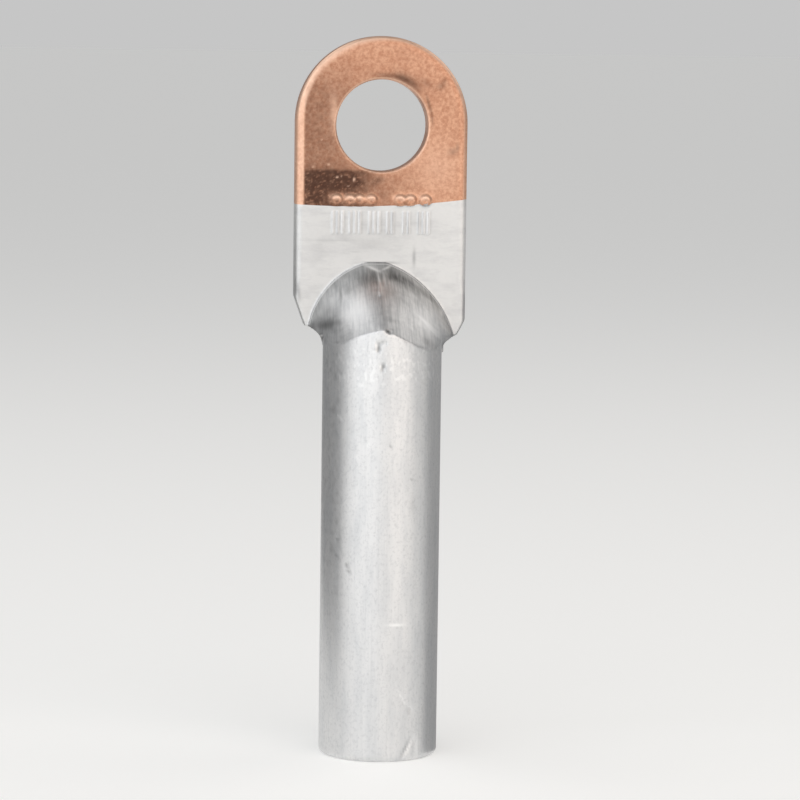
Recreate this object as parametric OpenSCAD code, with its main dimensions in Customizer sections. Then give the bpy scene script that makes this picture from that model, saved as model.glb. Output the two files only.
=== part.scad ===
// Bimetallic palm lug for a stranded cable: aluminium barrel, copper palm, joined face to face.
// Millimetres. The lug stands on its barrel mouth: Z up, X across the palm, the front faces -Y.
// Heights marked "above the barrel" are counted from the top of the plain round barrel.

/* [Barrel] */
// outside diameter of the barrel
barrel_d = 11; // [10.8:0.1:11.2]
// height of the plain round barrel from its mouth
barrel_l = 37.6; // [36:0.1:40]
// diameter of the cable bore
bore_d = 6; // [5.5:0.1:6.5]
// depth of the straight bore from the mouth
bore_depth = 31; // [28:0.5:32]
// point angle of the drill that made the bore
drill_angle = 118; // [110:1:130]
// rounding of the outer edge of the mouth
mouth_round = 0.5; // [0.2:0.1:0.8]
// chamfer of the inner edge of the mouth
mouth_chamfer = 0.3; // [0.1:0.1:0.5]

/* [Palm] */
// height of the palm's tip above the barrel
palm_reach = 28.9; // [28.5:0.1:31]
// width of the palm
palm_w = 16; // [15.6:0.1:16.4]
// thickness of the palm
palm_t = 2.7; // [2.5:0.1:2.8]
// rounding of the long edges of the palm
palm_round = 0.4; // [0.2:0.1:0.6]
// how far the contact face stands behind the barrel
palm_proud = 0.1; // [0.05:0.05:0.2]
// diameter of the stud hole
stud_hole_d = 8.5; // [8:0.1:9]
// how far the stud hole sits below the centre of the round end
hole_drop = 0.25; // [0:0.05:0.5]
// chamfer of both rims of the stud hole
hole_chamfer = 0.15; // [0.05:0.05:0.3]

/* [Neck] */
// how far the palm's foot reaches below the top of the plain barrel
foot_drop = 0.45; // [0.35:0.05:0.55]
// bevel of the palm's foot on the contact side
heel_bevel = 0.8; // [0.4:0.1:1.2]
// height of the lower left corner of the palm above the barrel
left_corner_h = 1.95; // [1.85:0.05:2.1]
// height of the slanting cut above the lower left corner
left_cut_h = 2.8; // [2:0.1:3.5]
// radius of the left neck fillet
left_neck_r = 1.45; // [1.3:0.05:1.6]
// how far the left trimmed edge stands out from the barrel
left_flash = 0.05; // [0.03:0.01:0.1]
// height of the lower right corner of the palm above the barrel
right_corner_h = 1.25; // [1.15:0.05:1.35]
// height of the slanting cut above the lower right corner
right_cut_h = 1.4; // [1:0.1:2.5]
// how far the lower right corner lies in from the palm's side
right_corner_in = 0.75; // [0.65:0.05:0.85]
// height above the barrel where the right trimmed edge starts to slant out
right_step_h = 0.6; // [0.5:0.05:0.65]
// how far the right trimmed edge stands out from the barrel
right_flash = 0.5; // [0.4:0.05:0.6]
// radius at the foot of the metal that spreads to the palm's width
spread_r = 5.5; // [5.4:0.05:5.6]
// growth of that radius per height
spread_slope = 0.95; // [0.9:0.05:1]

/* [Nose] */
// radius of the long arc down the forged nose
nose_arc_r = 22; // [21.5:0.5:23]
// height of the flat crest of the nose above the barrel
crest_h = 7.9; // [7.7:0.1:8]
// slope of the small flat in front of the crest
crest_slope = 24; // [20:1:28]
// girth radius of the left facet
left_girth_r = 7.52; // [7.48:0.02:7.56]
// lean of the left facet from upright
left_lean = 72; // [71.6:0.1:72.4]
// sideways place of the left facet's axis
left_axis_x = 0.47; // [0.43:0.01:0.5]
// depth of the left facet's axis behind the barrel's axis
left_axis_y = 6.32; // [6.28:0.02:6.36]
// height of the left facet's axis above the barrel
left_axis_h = 1.36; // [1.32:0.02:1.4]
// girth radius of the right facet
right_girth_r = 9.76; // [9.72:0.02:9.8]
// lean of the right facet from upright
right_lean = 66.9; // [66.5:0.1:67.3]
// sideways place of the right facet's axis
right_axis_x = -2.3; // [-2.34:0.02:-2.26]
// depth of the right facet's axis behind the barrel's axis
right_axis_y = 5.98; // [5.94:0.02:6.02]
// drop of the right facet's axis below the barrel's top
right_axis_drop = 0.94; // [0.9:0.02:0.98]

/* [Weld] */
// drop of the weld below the centre of the stud hole, midway across the palm
weld_drop = 7.45; // [7.15:0.05:7.85]
// radius of the gentle arc of the weld
weld_r = 83; // [70:1:100]
// how far left of the middle the weld's lowest point lies
weld_shift = 3; // [2:0.1:4]

/* [Hidden] */
barrel_r = barrel_d / 2;
bore_r = bore_d / 2;
drill_h = bore_r / tan(drill_angle / 2);
palm_half = palm_w / 2;
palm_back = barrel_r + palm_proud;
palm_front = palm_back - palm_t;
palm_mid = palm_back - palm_t / 2;
palm_foot = barrel_l - foot_drop;
palm_tip = barrel_l + palm_reach;
end_z = palm_tip - palm_half;
hole_z = end_z - hole_drop;
left_side = -barrel_r - left_flash;
left_corner_x = left_side - left_neck_r;
left_corner_z = barrel_l + left_corner_h;
right_side = barrel_r + right_flash;
right_corner_x = palm_half - right_corner_in;
right_corner_z = barrel_l + right_corner_h;
right_step_z = barrel_l + right_step_h;
overlap = 1;
crest_z = barrel_l + crest_h;
nose_top = crest_z + overlap;
spread_h = nose_top - palm_foot;
facet_reach = 15;
weld_z = hole_z - weld_drop + sqrt(pow(weld_r, 2) - pow(weld_shift, 2));
$fn = 120;

// half section of the round bar, from the mouth up through the nose
module bar_section() {
    translate([0, mouth_round])
        square([barrel_r, nose_top - mouth_round]);
    square([barrel_r - mouth_round, nose_top]);
    translate([barrel_r - mouth_round, mouth_round])
        circle(r = mouth_round);
}

// cable bore with its drilled point and its mouth chamfer
module cable_bore() {
    translate([0, 0, -overlap])
        cylinder(h = bore_depth + overlap, r = bore_r);
    translate([0, 0, bore_depth])
        cylinder(h = drill_h, r1 = bore_r, r2 = 0);
    cylinder(h = mouth_chamfer, r1 = bore_r + mouth_chamfer, r2 = bore_r);
}

// front outline of the lug above the barrel, X across and Y up
module outline() {
    difference() {
        polygon([
            [left_side, palm_foot - overlap],
            [left_side, left_corner_z - left_neck_r],
            [left_corner_x, left_corner_z - left_neck_r],
            [left_corner_x, left_corner_z],
            [-palm_half, left_corner_z + left_cut_h],
            [-palm_half, palm_tip + overlap],
            [palm_half, palm_tip + overlap],
            [palm_half, right_corner_z + right_cut_h],
            [right_corner_x, right_corner_z],
            [right_side, right_step_z],
            [right_side, palm_foot - overlap]
        ]);
        translate([left_corner_x, left_corner_z - left_neck_r])
            circle(r = left_neck_r);
    }
}

// the outline as a block that runs from depth y0 to depth y1
module outline_block(y0, y1) {
    translate([0, y1, 0])
        rotate([90, 0, 0])
            linear_extrude(height = y1 - y0)
                outline();
}

// half of the palm's cross-section, X outwards and Y through the thickness
module palm_half_section() {
    translate([0, palm_front])
        square([palm_half - palm_round, palm_t]);
    translate([0, palm_front + palm_round])
        square([palm_half, palm_t - 2 * palm_round]);
    translate([palm_half - palm_round, palm_front + palm_round])
        circle(r = palm_round);
    translate([palm_half - palm_round, palm_back - palm_round])
        circle(r = palm_round);
}

// palm with its round end, before the hole and the neck are cut
module palm_blank() {
    translate([0, 0, palm_foot])
        linear_extrude(height = end_z - palm_foot) {
            palm_half_section();
            mirror([1, 0])
                palm_half_section();
        }
    translate([0, 0, end_z])
        rotate([-90, 0, 0])
            rotate_extrude()
                palm_half_section();
}

// stud hole through the palm with both rims broken
module stud_hole() {
    hole_r = stud_hole_d / 2;
    rim_r = hole_r + hole_chamfer;
    translate([0, palm_front - overlap, hole_z])
        rotate([-90, 0, 0])
            cylinder(h = palm_t + 2 * overlap, r = hole_r);
    translate([0, palm_front, hole_z])
        rotate([-90, 0, 0])
            cylinder(h = hole_chamfer, r1 = rim_r, r2 = hole_r);
    translate([0, palm_back, hole_z])
        rotate([90, 0, 0])
            cylinder(h = hole_chamfer, r1 = rim_r, r2 = hole_r);
}

// bevel that trims the foot of the palm on the contact side
module heel_cut() {
    translate([0, palm_back - heel_bevel, palm_foot])
        rotate([45, 0, 0])
            translate([-palm_w, 0, -palm_w])
                cube([2 * palm_w, 2 * palm_w, palm_w]);
}

// whole flat palm, both metals together
module palm() {
    difference() {
        intersection() {
            palm_blank();
            outline_block(palm_front - overlap, palm_back + overlap);
        }
        stud_hole();
        heel_cut();
    }
}

// metal that spreads from the round bar to the palm's width
module spread() {
    difference() {
        intersection() {
            translate([0, palm_mid, palm_foot])
                cylinder(h = spread_h, r1 = spread_r, r2 = spread_r + spread_slope * spread_h);
            outline_block(-barrel_r, palm_back - palm_proud / 2);
        }
        heel_cut();
    }
}

// body behind one facet of the nose: a long arc turned about a leaning axis
module facet(girth_r, lean, x, y, z) {
    translate([x, y, z])
        rotate([-lean, 0, 0])
            rotate_extrude()
                intersection() {
                    translate([girth_r - nose_arc_r, 0])
                        circle(r = nose_arc_r, $fn = 360);
                    translate([0, -facet_reach])
                        square([girth_r, 2 * facet_reach]);
                }
}

// what the forging die leaves: the plain barrel below, both facets above
module die_form() {
    translate([-palm_w, -palm_w, -overlap])
        cube([2 * palm_w, 2 * palm_w, barrel_l + overlap]);
    intersection() {
        facet(left_girth_r, left_lean, left_axis_x, left_axis_y, barrel_l + left_axis_h);
        facet(right_girth_r, right_lean, right_axis_x, right_axis_y, barrel_l - right_axis_drop);
    }
}

// space above the small flat at the crest of the nose
module crest_cut() {
    translate([0, palm_front, crest_z])
        rotate([crest_slope, 0, 0])
            translate([-palm_w, -palm_w, 0])
                cube([2 * palm_w, 2 * palm_w, palm_w]);
}

// round barrel that ends in the forged nose
module barrel_and_nose() {
    difference() {
        intersection() {
            union() {
                rotate_extrude()
                    bar_section();
                spread();
            }
            die_form();
        }
        crest_cut();
    }
}

// region above the arc of the weld
module copper_side() {
    translate([-weld_shift, palm_front - overlap, weld_z])
        rotate([-90, 0, 0])
            cylinder(h = palm_t + 2 * overlap, r = weld_r, $fn = 720);
}

// aluminium: barrel, nose and the lower part of the palm
module aluminium_barrel() {
    color([0.8, 0.8, 0.8])
        difference() {
            union() {
                barrel_and_nose();
                difference() {
                    palm();
                    copper_side();
                }
            }
            cable_bore();
        }
}

// copper: the upper part of the palm with the stud hole
module copper_palm() {
    color([0.85, 0.5, 0.35])
        intersection() {
            palm();
            copper_side();
        }
}

aluminium_barrel();
copper_palm();
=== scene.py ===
"""Looks of a bimetallic cable lug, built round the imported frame.

The lug stands on the mouth of its barrel: Z up, X across the palm, the forged nose towards -Y.
Lengths in the classes are millimetres. Each mesh is shaped in millimetres and scaled to metres last.
"""

import logging
import math
from collections.abc import Callable, Sequence
from dataclasses import dataclass, field
from enum import Enum
from typing import ClassVar

import bmesh
import bpy
import numpy as np
from mathutils import Matrix, Vector, noise

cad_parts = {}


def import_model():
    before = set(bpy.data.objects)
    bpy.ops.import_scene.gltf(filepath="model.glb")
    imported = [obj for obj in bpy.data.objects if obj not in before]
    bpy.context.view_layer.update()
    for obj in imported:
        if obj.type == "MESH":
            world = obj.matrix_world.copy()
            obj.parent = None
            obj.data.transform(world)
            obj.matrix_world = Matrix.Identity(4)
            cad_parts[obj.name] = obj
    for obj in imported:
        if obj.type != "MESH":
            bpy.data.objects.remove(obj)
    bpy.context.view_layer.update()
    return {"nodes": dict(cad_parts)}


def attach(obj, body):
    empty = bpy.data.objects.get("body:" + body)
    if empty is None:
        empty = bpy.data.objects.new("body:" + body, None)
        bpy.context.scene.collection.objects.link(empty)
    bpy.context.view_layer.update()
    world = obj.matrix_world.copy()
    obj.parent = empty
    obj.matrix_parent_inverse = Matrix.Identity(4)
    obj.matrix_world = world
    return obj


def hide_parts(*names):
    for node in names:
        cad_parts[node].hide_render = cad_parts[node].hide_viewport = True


LOG = logging.getLogger("cable_lug")
MM = 0.001
MERGE = 1e-4  # mm, vertices closer than this to each other, or to a cut, are merged with it
SLACK = 0.01  # mm, how far a vertex may lie off its level
TINY = 1e-6
LIGHT_AIM = Vector((0.0, 0.0, 0.034))  # metres, about the middle of the lug

Point = tuple[float, float]
Colour = tuple[float, float, float, float]
Extra = Callable[[np.ndarray], np.ndarray]


class Zone(Enum):
    """Surfaces of the lug by how they were made, in the order of the material slots."""

    DRAWN = 0
    FORGED = 1
    PRESSED = 2
    BORE = 3


class Grain(Enum):
    """Attributes that carry dirt with painted shade, and painted highlights, to the materials."""

    SMUT_AND_SHADE = "smut"
    BRIGHT = "bright"


# Small helpers


def linear(colour: str) -> Colour:
    """Turns an sRGB hex colour into a linear one.

    Args:
        colour: six hex digits, with or without a leading #.

    Returns:
        Red, green, blue and an alpha of 1, linear.
    """
    digits = colour.lstrip("#")
    parts = (int(digits[i : i + 2], 16) / 255 for i in (0, 2, 4))
    red, green, blue = (c / 12.92 if c <= 0.04045 else ((c + 0.055) / 1.055) ** 2.4 for c in parts)
    return red, green, blue, 1.0


def add_node(
    tree: bpy.types.NodeTree,
    kind: str,
    settings: dict[str | int, object] | None = None,
    links: dict[str | int, bpy.types.NodeSocket] | None = None,
) -> bpy.types.Node:
    """Adds one shader node with its settings and its links.

    Args:
        tree: the node tree that gets the node.
        kind: the node's Blender type name.
        settings: a property of the node by its name, or else an input by its name or number.
        links: an input by its name or number, and the output that feeds it.

    Returns:
        The new node.
    """
    node = tree.nodes.new(kind)
    for key, value in (settings or {}).items():
        if isinstance(key, str) and key in node.bl_rna.properties:
            setattr(node, key, value)
        else:
            node.inputs[key].default_value = value
    for key, source in (links or {}).items():
        tree.links.new(source, node.inputs[key])
    return node


def turned(places: np.ndarray, degrees: float) -> np.ndarray:
    """Turns places about the Y axis, so that noise can run along a slant.

    Args:
        places: one row of x, y, z in millimetres for each vertex.
        degrees: the slant, positive where it climbs to the right.

    Returns:
        The places along the slant, in depth and across the slant.
    """
    cos, sin = math.cos(math.radians(degrees)), math.sin(math.radians(degrees))
    along = places[:, 0] * cos + places[:, 2] * sin
    across = places[:, 2] * cos - places[:, 0] * sin
    return np.stack([along, places[:, 1], across], axis=1)


def smooth_step(value: np.ndarray, low: float, high: float) -> np.ndarray:
    """Rises smoothly from 0 at low to 1 at high.

    Args:
        value: the numbers to map.
        low: where the rise starts.
        high: where the rise ends.

    Returns:
        The mapped numbers, 0 to 1.
    """
    t = np.clip((value - low) / (high - low), 0.0, 1.0)
    return t * t * (3.0 - 2.0 * t)


def fade(value: np.ndarray, low: float, high: float) -> np.ndarray:
    """Falls smoothly from 1 at low to 0 at high."""
    return 1.0 - smooth_step(value, low, high)


@dataclass(frozen=True)
class Mottle:
    """Smooth noise on the vertices, the same on every run: millimetres of one grain, and a seed."""

    grain: tuple[float, float, float]
    seed: float

    def at(self, places: np.ndarray) -> np.ndarray:
        """The noise at each place.

        Args:
            places: one row of x, y, z in millimetres for each vertex.

        Returns:
            One number from about -1 to 1 for each place.
        """
        shift = Vector((self.seed, self.seed * 1.7, self.seed * 2.3))
        spots = places / np.asarray(self.grain)
        return np.array([noise.noise(Vector(spot) + shift) for spot in spots])


# Shapes of marks


@dataclass(frozen=True)
class Mark:
    """One capsule-shaped dent, nick, scratch or lump, seen from the front.

    A positive depth sinks the surface and a negative one raises it. The ends are x and z on the front of
    the lug. A higher power makes its walls steeper and its middle flatter.
    """

    start: Point
    end: Point
    width: float
    depth: float
    power: float = 2.0

    def weight(self, places: np.ndarray) -> np.ndarray:
        """How strongly the mark holds at each place, 0 to 1.

        Args:
            places: one row of x, y, z in millimetres for each vertex.

        Returns:
            A bell-shaped weight about the line from start to end.
        """
        flat = places[:, (0, 2)]
        first, last = np.array(self.start), np.array(self.end)
        along = last - first
        length = float(along @ along)
        t = np.clip((flat - first) @ along / length, 0.0, 1.0) if length else np.zeros(len(flat))
        gap = np.linalg.norm(flat - first - t[:, None] * along, axis=1)
        return np.exp(-((gap / (self.width / 2)) ** self.power))


@dataclass(frozen=True)
class Stain:
    """One oval patch of darker or brighter skin, seen from the front."""

    centre: Point
    radii: Point
    strength: float
    turn: float = 0.0

    def weight(self, places: np.ndarray) -> np.ndarray:
        """How strongly the patch holds at each place.

        Args:
            places: one row of x, y, z in millimetres for each vertex.

        Returns:
            Its strength times a bell-shaped weight.
        """
        angle = math.radians(self.turn)
        across, up = places[:, 0] - self.centre[0], places[:, 2] - self.centre[1]
        u = (across * math.cos(angle) + up * math.sin(angle)) / self.radii[0]
        v = (up * math.cos(angle) - across * math.sin(angle)) / self.radii[1]
        return self.strength * np.exp(-(u * u + v * v))


# Mesh work


@dataclass
class Shell:
    """A mesh in millimetres, with the arrays that shaping needs."""

    bm: bmesh.types.BMesh

    def places(self) -> np.ndarray:
        """One row of x, y, z for each vertex."""
        return np.array([v.co[:] for v in self.bm.verts])

    def normals(self) -> np.ndarray:
        """One outward unit normal for each vertex."""
        self.bm.normal_update()
        return np.array([v.normal[:] for v in self.bm.verts])

    def put(self, places: np.ndarray) -> None:
        """Moves every vertex to its row of places."""
        for vert, place in zip(self.bm.verts, places):
            vert.co = place

    def cut(self, point: Sequence[float], normal: Sequence[float], fill: bool) -> None:
        """Cuts off what lies beyond a plane.

        Args:
            point: a point of the plane.
            normal: the plane's normal, towards the part that goes.
            fill: whether the cut is closed with faces.
        """
        geometry = self.bm.verts[:] + self.bm.edges[:] + self.bm.faces[:]
        result = bmesh.ops.bisect_plane(
            self.bm, geom=geometry, dist=MERGE, plane_co=point, plane_no=normal, clear_outer=True
        )
        if fill:
            rim = [e for e in result["geom_cut"] if isinstance(e, bmesh.types.BMEdge) and e.is_boundary]
            bmesh.ops.triangle_fill(self.bm, edges=rim, use_beauty=True)

    def rim(self, height: float) -> list[bmesh.types.BMEdge]:
        """The open edges that lie at a height.

        Args:
            height: the height in millimetres.

        Returns:
            The boundary edges there.
        """
        rims = (edge for edge in self.bm.edges if edge.is_boundary)
        return [edge for edge in rims if all(abs(v.co.z - height) < SLACK for v in edge.verts)]

    def smooth(self, rounds: int, factor: float) -> None:
        """Evens out the vertices.

        Args:
            rounds: how many times each vertex moves.
            factor: the share of the way to its neighbours' middle.
        """
        for _ in range(rounds):
            bmesh.ops.smooth_vert(
                self.bm,
                verts=self.bm.verts[:],
                factor=factor,
                **{f"use_axis_{axis}": True for axis in "xyz"},
            )

    def finish(self, name: str, sharp_angle: float) -> bpy.types.Object:
        """Makes the object, scaled to metres.

        Args:
            name: the object's name.
            sharp_angle: degrees past which an edge is shaded sharp.

        Returns:
            The new object, linked to the scene.
        """
        bmesh.ops.remove_doubles(self.bm, verts=self.bm.verts[:], dist=MERGE)
        bmesh.ops.recalc_face_normals(self.bm, faces=self.bm.faces[:])
        for face in self.bm.faces:
            face.smooth = True
        mesh = bpy.data.meshes.new(name)
        self.bm.to_mesh(mesh)
        self.bm.free()
        mesh.transform(Matrix.Scale(MM, 4))
        mesh.set_sharp_from_angle(angle=math.radians(sharp_angle))
        piece = bpy.data.objects.new(name, mesh)
        bpy.context.scene.collection.objects.link(piece)
        return piece


@dataclass
class WeldLine:
    """The gentle arc where the two metals meet."""

    radius: float = 83.0
    centre_x: float = -3.0
    centre_z: float = 133.746

    def height(self, across: np.ndarray) -> np.ndarray:
        """Height of the weld at each x, all in millimetres."""
        return self.centre_z - np.sqrt(self.radius**2 - (across - self.centre_x) ** 2)

    def part(self, shell: Shell, keep_above: bool) -> None:
        """Cuts a shell along the weld and closes the cut.

        Args:
            shell: the shell to cut.
            keep_above: whether the upper part stays.
        """
        places = shell.places()
        rise = self.height(places[:, 0])
        places[:, 2] -= rise
        shell.put(places)
        shell.cut((0, 0, 0), (0, 0, -1 if keep_above else 1), fill=True)
        places = shell.places()
        places[:, 2] += self.height(places[:, 0])
        shell.put(places)


@dataclass
class LugBlank:
    """Everything above the plain barrel as one fine, softly edged skin, before the metals are parted."""

    merge: float = 0.001
    voxel: float = 0.115
    barrel_r: float = 5.5
    barrel_top: float = 37.6
    join: float = 35.0
    palm_front: float = 2.9
    palm_back: float = 5.6
    palm_half: float = 8.0
    end_z: float = 58.5
    skirt: float = 1.0
    flat_catch: float = 0.07
    flat_facing: float = 0.97
    round_heights: Sequence[float] = (42.4, 44.0, 50.5, 51.5)
    round_sizes: Sequence[float] = (0.4, 0.6, 0.7, 0.9)
    round_depth: float = 0.5
    neck_tuck: float = 0.38
    neck_heights: Point = (37.9, 39.4)
    neck_depths: Point = (0.5, 3.5)
    neck_sides: Point = (4.6, 5.3)
    stamp_box: tuple[Point, Point] = ((-5.2, 5.2), (47.9, 52.3))

    def build(self, nodes: Sequence[bpy.types.Object]) -> bpy.types.Mesh:
        """Builds the skin from copies of the CAD nodes.

        Args:
            nodes: the CAD objects of both metals.

        Returns:
            The skin as a mesh in millimetres, open at the foot of the join.
        """
        bm = bmesh.new()
        for node in nodes:
            bm.from_mesh(node.data)
        shell = Shell(bm)
        bmesh.ops.scale(bm, vec=(1 / MM,) * 3, verts=bm.verts[:])
        bmesh.ops.remove_doubles(bm, verts=bm.verts[:], dist=self.merge)
        shell.cut((0, 0, self.join - self.skirt), (0, 0, -1), fill=True)
        bmesh.ops.recalc_face_normals(bm, faces=bm.faces[:])
        fine = self.remesh(bm)
        shell = Shell(bmesh.new())
        shell.bm.from_mesh(fine)
        shell.smooth(rounds=2, factor=0.5)
        self.settle(shell)
        shell.cut((0, 0, self.join), (0, 0, -1), fill=False)
        self.settle(shell)
        self.round_front(shell)
        self.trim_neck(shell)
        self.refine(shell)
        shell.bm.to_mesh(fine)
        shell.bm.free()
        return fine

    def remesh(self, bm: bmesh.types.BMesh) -> bpy.types.Mesh:
        """Remeshes a closed mesh into small even quads.

        Args:
            bm: the closed mesh, which is freed.

        Returns:
            The new mesh.
        """
        rough = bpy.data.meshes.new("rough_blank")
        bm.to_mesh(rough)
        bm.free()
        holder = bpy.data.objects.new("rough_blank", rough)
        bpy.context.scene.collection.objects.link(holder)
        modifier = holder.modifiers.new("fine_skin", "REMESH")
        modifier.mode = "VOXEL"
        modifier.voxel_size = self.voxel
        seen = holder.evaluated_get(bpy.context.evaluated_depsgraph_get())
        fine = bpy.data.meshes.new_from_object(seen)
        bpy.data.objects.remove(holder)
        bpy.data.meshes.remove(rough)
        return fine

    def settle(self, shell: Shell) -> None:
        """Lays the skin back on the exact barrel and on the palm's flats.

        Args:
            shell: the fine skin.
        """
        places, normals = shell.places(), shell.normals()
        radius = np.hypot(places[:, 0], places[:, 1])
        round_part = (np.abs(radius - self.barrel_r) < self.flat_catch) & (places[:, 2] < self.barrel_top)
        places[round_part, :2] *= (self.barrel_r / radius[round_part])[:, None]
        flat = np.abs(normals[:, 1]) > self.flat_facing
        for depth in (self.palm_front, self.palm_back):
            level = flat & (np.abs(places[:, 1] - depth) < self.flat_catch)
            places[level, 1] = depth
        shell.put(places)

    def round_front(self, shell: Shell) -> None:
        """Rolls the front rim of the palm over, as tumbling did: more on the soft copper.

        Args:
            shell: the fine skin, with its flats laid exactly.
        """
        places = shell.places()
        upper = places[:, 2] > self.end_z
        across, rise = places[:, 0], np.where(upper, places[:, 2] - self.end_z, 0.0)
        reach = np.maximum(np.hypot(across, rise), TINY)
        outward = np.stack([across / reach, rise / reach], axis=1)
        size = np.interp(places[:, 2], self.round_heights, self.round_sizes)
        inset = self.palm_half - reach - size
        depth = places[:, 1] - self.palm_front - self.round_depth
        gap = np.hypot(inset / size, depth / self.round_depth)
        outer = (inset < 0) & (depth < 0) & (gap > 1.0) & (places[:, 2] > self.round_heights[0])
        outer &= places[:, 1] > self.palm_front - SLACK
        share = np.where(outer, 1.0 - 1.0 / np.maximum(gap, TINY), 0.0)
        places[:, (0, 2)] += outward * (inset * share)[:, None]
        places[:, 1] -= depth * share
        shell.put(places)

    def refine(self, shell: Shell) -> None:
        """Halves the quads where the stamp comes.

        Args:
            shell: the fine skin.
        """
        (left, right), (low, high) = self.stamp_box
        front = self.palm_front + SLACK
        edges = [
            edge
            for edge in shell.bm.edges
            if all(left < v.co.x < right and low < v.co.z < high and v.co.y < front for v in edge.verts)
        ]
        bmesh.ops.subdivide_edges(shell.bm, edges=edges, cuts=1, use_grid_fill=True)

    def trim_neck(self, shell: Shell) -> None:
        """Tucks the foot of the left trimmed edge in behind the barrel.

        Args:
            shell: the fine skin.
        """
        places = shell.places()
        back = smooth_step(places[:, 1], *self.neck_depths) * smooth_step(-places[:, 0], *self.neck_sides)
        low = fade(places[:, 2], *self.neck_heights)
        places[:, 0] += self.neck_tuck * back * low
        shell.put(places)


# Finishes


@dataclass(frozen=True)
class Pattern:
    """Noise in a material whose grain has a real size: millimetres along x, y and z."""

    grain: tuple[float, float, float]
    detail: float = 3.0
    roughness: float = 0.5


@dataclass(frozen=True)
class Ramp:
    """A pattern mapped between two levels and held there: a value in and a value out at each end."""

    pattern: Pattern
    low: Point
    high: Point


@dataclass
class PatternWork:
    """The patterns in the node tree of one metal, each made once."""

    tree: bpy.types.NodeTree
    place: bpy.types.NodeSocket
    made: dict[Pattern, bpy.types.NodeSocket] = field(default_factory=dict)

    def noise(self, pattern: Pattern) -> bpy.types.NodeSocket:
        """Adds the noise of a pattern, or finds it where it was made before.

        Args:
            pattern: its grain and its finer layers.

        Returns:
            The noise, 0 to 1.
        """
        if pattern not in self.made:
            scale = tuple(1 / (grain * MM) for grain in pattern.grain)
            spread = add_node(self.tree, "ShaderNodeMapping", {"Scale": scale}, {"Vector": self.place})
            settings = {"Scale": 1.0, "Detail": pattern.detail, "Roughness": pattern.roughness}
            links = {"Vector": spread.outputs["Vector"]}
            self.made[pattern] = add_node(self.tree, "ShaderNodeTexNoise", settings, links).outputs["Fac"]
        return self.made[pattern]

    def mapped(self, ramp: Ramp) -> bpy.types.NodeSocket:
        """Maps a pattern between the levels of a ramp.

        Args:
            ramp: the pattern and its levels.

        Returns:
            The mapped value.
        """
        (low_in, low_out), (high_in, high_out) = ramp.low, ramp.high
        settings = {"From Min": low_in, "From Max": high_in, "To Min": low_out, "To Max": high_out}
        links = {"Value": self.noise(ramp.pattern)}
        return add_node(self.tree, "ShaderNodeMapRange", settings, links).outputs["Result"]


@dataclass(frozen=True)
class MetalSkin:
    """Base of the metal finishes: a metallic shader that reads Object coordinates in metres.

    Washes lay a tone over the clean metal where a pattern is strong. Satin is the roughness, relief the
    pattern of the bump, and bump its height in metres. Dark is the tone of dirt and painted shade, light
    the tone of painted highlights, and broken varies the dark.
    """

    name: str
    clean: str
    washes: Sequence[tuple[Ramp, str]]
    satin: Ramp
    relief: Pattern | None = None
    bump: float = 0.0
    bump_strength: float = 0.7
    dark: str = ""
    light: str = ""
    broken: Ramp | None = None

    def build(self) -> bpy.types.Material:
        """Makes the material.

        Returns:
            The finished material.
        """
        material = bpy.data.materials.new(self.name)
        material.use_nodes = True
        tree = material.node_tree
        tree.nodes.clear()
        shader = add_node(tree, "ShaderNodeBsdfPrincipled", {"Metallic": 1.0})
        add_node(tree, "ShaderNodeOutputMaterial", links={"Surface": shader.outputs["BSDF"]})
        work = PatternWork(tree, add_node(tree, "ShaderNodeTexCoord").outputs["Object"])
        colour: bpy.types.NodeSocket | None = None
        for share, tone in self.layers(work):
            settings = {"data_type": "RGBA", 6: linear(self.clean), 7: linear(tone)}
            links = {0: share, 6: colour} if colour else {0: share}
            colour = add_node(tree, "ShaderNodeMix", settings, links).outputs[2]
        if self.relief:
            settings = {"Strength": self.bump_strength, "Distance": self.bump}
            bumps = add_node(tree, "ShaderNodeBump", settings, {"Height": work.noise(self.relief)})
            tree.links.new(bumps.outputs["Normal"], shader.inputs["Normal"])
        tree.links.new(colour, shader.inputs["Base Color"])
        tree.links.new(work.mapped(self.satin), shader.inputs["Roughness"])
        return material

    def layers(self, work: PatternWork) -> list[tuple[bpy.types.NodeSocket, str]]:
        """Lists what lies over the clean metal, the lowest first.

        Args:
            work: the patterns of this metal.

        Returns:
            The share of each layer, and its tone.
        """
        washes = [(work.mapped(ramp), tone) for ramp, tone in self.washes]
        if not self.dark:
            return washes
        # Two attributes: dirt with painted shade, and painted highlights, laid over the washes.
        smut, bright = (
            add_node(work.tree, "ShaderNodeAttribute", {"attribute_name": grain.value}).outputs["Fac"]
            for grain in Grain
        )
        if self.broken:
            links = {0: smut, 1: work.mapped(self.broken)}
            smut = add_node(work.tree, "ShaderNodeMath", {"operation": "MULTIPLY"}, links).outputs[0]
        return [*washes, (smut, self.dark), (bright, self.light)]


@dataclass(frozen=True)
class DrawnAluminium(MetalSkin):
    """Soft aluminium tube as it was drawn: satin, with fine lines along the tube."""

    cloud: ClassVar[Pattern] = Pattern((1.0, 1.0, 5.0), 4.0, 0.6)
    line: ClassVar[Pattern] = Pattern((0.22, 0.22, 14.0))  # real lines are about 0.05 wide, coarser to show
    grain: ClassVar[Pattern] = Pattern((0.24, 0.24, 0.3), roughness=0.6)
    name: str = "drawn_aluminium"
    clean: str = "#E4E4E4"
    washes: Sequence[tuple[Ramp, str]] = (
        (Ramp(cloud, (0.4, 0.0), (0.65, 1.0)), "#DADBDC"),
        (Ramp(line, (0.5, 0.0), (0.75, 0.22)), "#C9CACB"),
        (Ramp(grain, (0.5, 0.0), (0.75, 0.45)), "#BFC0C2"),
    )
    satin: Ramp = Ramp(grain, (0.35, 0.34), (0.65, 0.46))
    relief: Pattern = grain
    bump: float = 0.000010
    # Dark tone: dirt and painted shade. Light tone: painted highlights.
    dark: str = "#5E5F61"
    light: str = "#F8F8F8"


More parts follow.
